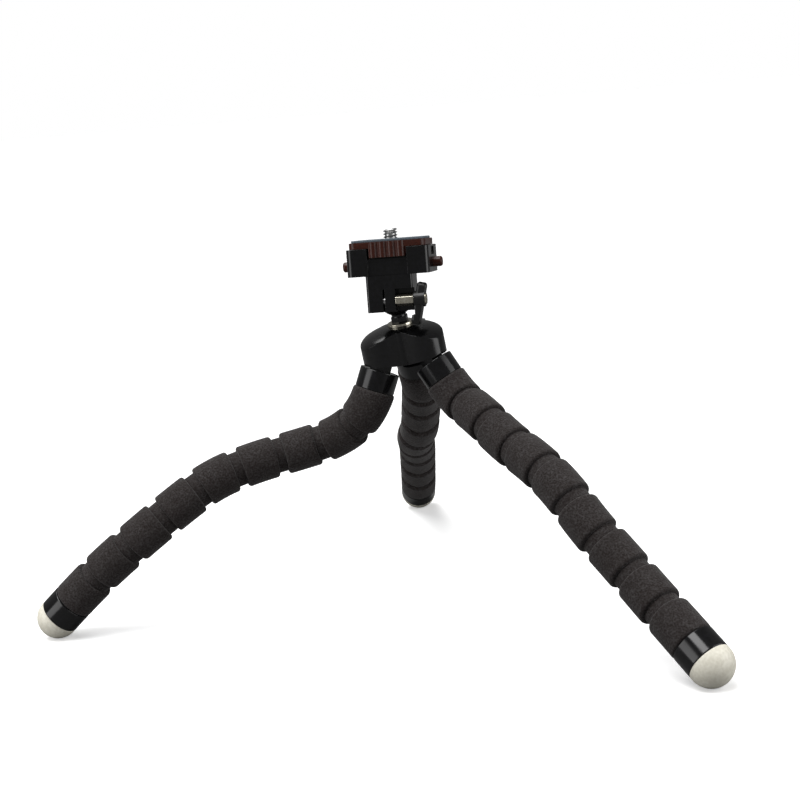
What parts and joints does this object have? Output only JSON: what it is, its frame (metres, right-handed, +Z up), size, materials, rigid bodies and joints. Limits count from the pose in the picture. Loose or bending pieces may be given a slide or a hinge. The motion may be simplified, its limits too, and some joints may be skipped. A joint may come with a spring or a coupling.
{
  "type": "mini tripod",
  "caption": "Mini tripod with flexible segmented foam legs on a lobed hub, a ball head with a wing-lever clamp and a quick-release plate that carries a camera screw.",
  "frame": {"origin": "on the floor, under the middle of the stance's box", "axes": "+Z up, +Y away from the front of the head towards the rear leg, +X towards the right leg as seen from the front"},
  "size_m": [0.2824, 0.3274, 0.1687],
  "materials": {
    "leg_foam": "matte closed-cell foam with fine pores",
    "gloss_black": "polished black plastic",
    "satin_black": "satin black moulded plastic",
    "foot_rubber": "cream matte rubber",
    "maroon": "satin maroon plastic",
    "pad_rubber": "blue-grey rubber",
    "bright_metal": "bright nickel plate",
    "steel": "zinc-plated steel",
    "steel_wire": "drawn wire"
  },
  "bodies": {
    "hub": {"hub_shell": "gloss_black", "leg_pins": "steel"},
    "stud": {"hub_bolt": "steel", "hub_washer": "bright_metal", "ball_stud": "gloss_black"},
    "housing": {"ball_housing": "satin_black", "clamp_spacer": "bright_metal", "quick_release_base": "satin_black", "base_screws": "steel", "left_button_spring": "steel_wire", "right_button_spring": "steel_wire"},
    "lever": {"wing_lever": "satin_black", "clamp_screw": "steel", "clamp_nut": "bright_metal"},
    "left_button": {"left_release_button": "maroon"},
    "right_button": {"right_release_button": "maroon"},
    "plate": {"quick_release_plate": "maroon", "plate_pad": "pad_rubber"},
    "camera_fixing": {"camera_screw": "steel", "screw_clip": "steel"},
    "right_leg_top": {"right_collar": "gloss_black", "right_barrel_1": "leg_foam", "right_core": "steel_wire"},
    "right_link_2": {"right_barrel_2": "leg_foam"},
    "right_link_3": {"right_barrel_3": "leg_foam"},
    "right_link_4": {"right_barrel_4": "leg_foam"},
    "right_link_5": {"right_barrel_5": "leg_foam"},
    "right_link_6": {"right_barrel_6": "leg_foam"},
    "right_link_7": {"right_barrel_7": "leg_foam"},
    "right_link_8": {"right_barrel_8": "leg_foam"},
    "right_leg_end": {"right_barrel_9": "leg_foam", "right_end_cap": "gloss_black", "right_foot": "foot_rubber"},
    "left_leg_top": {"left_collar": "gloss_black", "left_barrel_1": "leg_foam", "left_core": "steel_wire"},
    "left_link_2": {"left_barrel_2": "leg_foam"},
    "left_link_3": {"left_barrel_3": "leg_foam"},
    "left_link_4": {"left_barrel_4": "leg_foam"},
    "left_link_5": {"left_barrel_5": "leg_foam"},
    "left_link_6": {"left_barrel_6": "leg_foam"},
    "left_link_7": {"left_barrel_7": "leg_foam"},
    "left_link_8": {"left_barrel_8": "leg_foam"},
    "left_leg_end": {"left_barrel_9": "leg_foam", "left_end_cap": "gloss_black", "left_foot": "foot_rubber"},
    "back_leg_top": {"back_collar": "gloss_black", "back_barrel_1": "leg_foam", "back_core": "steel_wire"},
    "back_link_2": {"back_barrel_2": "leg_foam"},
    "back_link_3": {"back_barrel_3": "leg_foam"},
    "back_link_4": {"back_barrel_4": "leg_foam"},
    "back_link_5": {"back_barrel_5": "leg_foam"},
    "back_link_6": {"back_barrel_6": "leg_foam"},
    "back_link_7": {"back_barrel_7": "leg_foam"},
    "back_link_8": {"back_barrel_8": "leg_foam"},
    "back_leg_end": {"back_barrel_9": "leg_foam", "back_end_cap": "gloss_black", "back_foot": "foot_rubber"}
  },
  "joints": [
    {"name": "ball_pan", "type": "hinge", "parent": "hub", "child": "stud", "pos_m": [0.0284, -0.01974, 0.13142], "axis": [-0.1219, -0.1037, 0.9871], "continuous": true},
    {"name": "ball_tilt", "type": "hinge", "parent": "stud", "child": "housing", "pos_m": [0.02767, -0.02036, 0.13734], "axis": [0.1719, 0.982, -0.0788], "range_deg": [-24, 14]},
    {"name": "lever_turn", "type": "hinge", "parent": "housing", "child": "lever", "pos_m": [0.03065, -0.03236, 0.13766], "axis": [-0.9851, 0.1721, -0.0049], "range_deg": [0, 75]},
    {"name": "left_button_press", "type": "slide", "parent": "housing", "child": "left_button", "axis": [0.9851, -0.1721, 0.0049], "range_m": [0, 0.002], "stiffness_N_per_m": 1000, "springref_m": -0.001, "deforming": ["left_button_spring"]},
    {"name": "right_button_press", "type": "slide", "parent": "housing", "child": "right_button", "axis": [-0.9851, 0.1721, -0.0049], "range_m": [0, 0.002], "stiffness_N_per_m": 1000, "springref_m": -0.001, "deforming": ["right_button_spring"]},
    {"name": "plate_lift", "type": "slide", "parent": "housing", "child": "plate", "axis": [0.0087, 0.0785, 0.9969], "range_m": [0, 0.008]},
    {"name": "camera_screw_turn", "type": "hinge", "parent": "plate", "child": "camera_fixing", "pos_m": [0.0278, -0.01885, 0.16531], "axis": [0.0087, 0.0785, 0.9969], "continuous": true},
    {"name": "right_leg_fold", "type": "hinge", "parent": "hub", "child": "right_leg_top", "pos_m": [0.03767, -0.02413, 0.11599], "axis": [-0.6246, -0.7649, -0.1575], "range_deg": [-22, 0]},
    {"name": "right_upper_bend", "type": "hinge", "parent": "right_leg_top", "child": "right_link_2", "pos_m": [0.05476, -0.03766, 0.09069], "axis": [-0.8496, -0.5128, 0.1231], "range_deg": [-12, 15], "deforming": ["right_core"]},
    {"name": "right_side_bend", "type": "hinge", "parent": "right_link_2", "child": "right_link_3", "pos_m": [0.06337, -0.05374, 0.08422], "axis": [0.3213, -0.3135, 0.8936], "range_deg": [-14, 14], "deforming": ["right_core"]},
    {"name": "right_upper_bend_3", "type": "hinge", "parent": "right_link_3", "child": "right_link_4", "pos_m": [0.07283, -0.06874, 0.0764], "axis": [-0.8188, -0.5661, 0.0956], "range_deg": [-12, 15]},
    {"name": "right_upper_bend_4", "type": "hinge", "parent": "right_link_4", "child": "right_link_5", "pos_m": [0.08241, -0.08403, 0.06931], "axis": [-0.8264, -0.5538, 0.1014], "range_deg": [-12, 15]},
    {"name": "right_lower_bend", "type": "hinge", "parent": "right_link_5", "child": "right_link_6", "pos_m": [0.09111, -0.09799, 0.05911], "axis": [-0.7995, -0.5967, 0.0688], "range_deg": [-14, 15], "deforming": ["right_core"]},
    {"name": "right_side_bend_6", "type": "hinge", "parent": "right_link_6", "child": "right_link_7", "pos_m": [0.10013, -0.10992, 0.04677], "axis": [0.4093, -0.4617, 0.787], "range_deg": [-14, 14]},
    {"name": "right_lower_bend_7", "type": "hinge", "parent": "right_link_7", "child": "right_link_8", "pos_m": [0.10996, -0.1219, 0.03511], "axis": [-0.7856, -0.6171, 0.0444], "range_deg": [-14, 15]},
    {"name": "right_lower_bend_8", "type": "hinge", "parent": "right_link_8", "child": "right_leg_end", "pos_m": [0.11898, -0.13531, 0.02439], "axis": [-0.819, -0.5676, 0.0841], "range_deg": [-14, 15]},
    {"name": "left_leg_fold", "type": "hinge", "parent": "hub", "child": "left_leg_top", "pos_m": [0.02154, -0.02136, 0.11429], "axis": [-0.3557, 0.933, 0.0542], "range_deg": [-22, 0]},
    {"name": "left_upper_bend", "type": "hinge", "parent": "left_leg_top", "child": "left_link_2", "pos_m": [0.00619, -0.02023, 0.08418], "axis": [-0.0403, 0.8442, 0.5346], "range_deg": [-12, 15], "deforming": ["left_core"]},
    {"name": "left_side_bend", "type": "hinge", "parent": "left_link_2", "child": "left_link_3", "pos_m": [-0.00996, -0.01506, 0.07535], "axis": [-0.2563, -0.53, 0.8083], "range_deg": [-14, 14], "deforming": ["left_core"]},
    {"name": "left_upper_bend_3", "type": "hinge", "parent": "left_link_3", "child": "left_link_4", "pos_m": [-0.02888, -0.01662, 0.07153], "axis": [-0.2483, 0.8337, 0.4933], "range_deg": [-12, 15]},
    {"name": "left_upper_bend_4", "type": "hinge", "parent": "left_link_4", "child": "left_link_5", "pos_m": [-0.0474, -0.0209, 0.06771], "axis": [-0.3241, 0.8164, 0.478], "range_deg": [-12, 15]},
    {"name": "left_lower_bend", "type": "hinge", "parent": "left_link_5", "child": "left_link_6", "pos_m": [-0.06486, -0.02559, 0.06081], "axis": [-0.4704, 0.7768, 0.4187], "range_deg": [-14, 15], "deforming": ["left_core"]},
    {"name": "left_side_bend_6", "type": "hinge", "parent": "left_link_6", "child": "left_link_7", "pos_m": [-0.08079, -0.03031, 0.0508], "axis": [-0.327, -0.5953, 0.7339], "range_deg": [-14, 14]},
    {"name": "left_lower_bend_7", "type": "hinge", "parent": "left_link_7", "child": "left_link_8", "pos_m": [-0.09651, -0.03282, 0.03977], "axis": [-0.3728, 0.7883, 0.4896], "range_deg": [-14, 15]},
    {"name": "left_lower_bend_8", "type": "hinge", "parent": "left_link_8", "child": "left_leg_end", "pos_m": [-0.1117, -0.03164, 0.02779], "axis": [-0.3226, 0.7852, 0.5286], "range_deg": [-14, 15]},
    {"name": "back_leg_fold", "type": "hinge", "parent": "hub", "child": "back_leg_top", "pos_m": [0.03182, -0.00877, 0.11688], "axis": [0.9803, -0.1682, 0.1034], "range_deg": [-22, 0]},
    {"name": "back_upper_bend", "type": "hinge", "parent": "back_leg_top", "child": "back_link_2", "pos_m": [0.03662, 0.0139, 0.0918], "axis": [0.9994, -0.0193, -0.0298], "range_deg": [-12, 15], "deforming": ["back_core"]},
    {"name": "back_side_bend", "type": "hinge", "parent": "back_link_2", "child": "back_link_3", "pos_m": [0.03605, 0.03078, 0.08227], "axis": [0.0331, 0.5372, 0.8428], "range_deg": [-14, 14], "deforming": ["back_core"]},
    {"name": "back_upper_bend_3", "type": "hinge", "parent": "back_link_3", "child": "back_link_4", "pos_m": [0.03522, 0.0468, 0.07136], "axis": [0.9986, 0.0173, -0.0503], "range_deg": [-12, 15]},
    {"name": "back_upper_bend_4", "type": "hinge", "parent": "back_link_4", "child": "back_link_5", "pos_m": [0.03363, 0.06322, 0.06122], "axis": [0.9904, 0.0969, -0.0982], "range_deg": [-12, 15]},
    {"name": "back_lower_bend", "type": "hinge", "parent": "back_link_5", "child": "back_link_6", "pos_m": [0.03238, 0.0809, 0.0534], "axis": [0.9982, -0.0493, -0.0344], "range_deg": [-14, 15], "deforming": ["back_core"]},
    {"name": "back_side_bend_6", "type": "hinge", "parent": "back_link_6", "child": "back_link_7", "pos_m": [0.03297, 0.09851, 0.04532], "axis": [0.053, 0.4621, 0.8852], "range_deg": [-14, 14]},
    {"name": "back_lower_bend_7", "type": "hinge", "parent": "back_link_7", "child": "back_link_8", "pos_m": [0.03285, 0.11528, 0.03558], "axis": [0.9986, -0.0212, -0.0488], "range_deg": [-14, 15]},
    {"name": "back_lower_bend_8", "type": "hinge", "parent": "back_link_8", "child": "back_leg_end", "pos_m": [0.03267, 0.13144, 0.02484], "axis": [0.9986, -0.0212, -0.0488], "range_deg": [-14, 15]}
  ],
  "couplings": [
    {"joint": "right_upper_bend_3", "follows": "right_upper_bend", "ratio": 1},
    {"joint": "right_upper_bend_4", "follows": "right_upper_bend", "ratio": 1},
    {"joint": "right_side_bend_6", "follows": "right_side_bend", "ratio": 1},
    {"joint": "right_lower_bend_7", "follows": "right_lower_bend", "ratio": 1},
    {"joint": "right_lower_bend_8", "follows": "right_lower_bend", "ratio": 1},
    {"joint": "left_upper_bend_3", "follows": "left_upper_bend", "ratio": 1},
    {"joint": "left_upper_bend_4", "follows": "left_upper_bend", "ratio": 1},
    {"joint": "left_side_bend_6", "follows": "left_side_bend", "ratio": 1},
    {"joint": "left_lower_bend_7", "follows": "left_lower_bend", "ratio": 1},
    {"joint": "left_lower_bend_8", "follows": "left_lower_bend", "ratio": 1},
    {"joint": "back_upper_bend_3", "follows": "back_upper_bend", "ratio": 1},
    {"joint": "back_upper_bend_4", "follows": "back_upper_bend", "ratio": 1},
    {"joint": "back_side_bend_6", "follows": "back_side_bend", "ratio": 1},
    {"joint": "back_lower_bend_7", "follows": "back_lower_bend", "ratio": 1},
    {"joint": "back_lower_bend_8", "follows": "back_lower_bend", "ratio": 1}
  ]
}
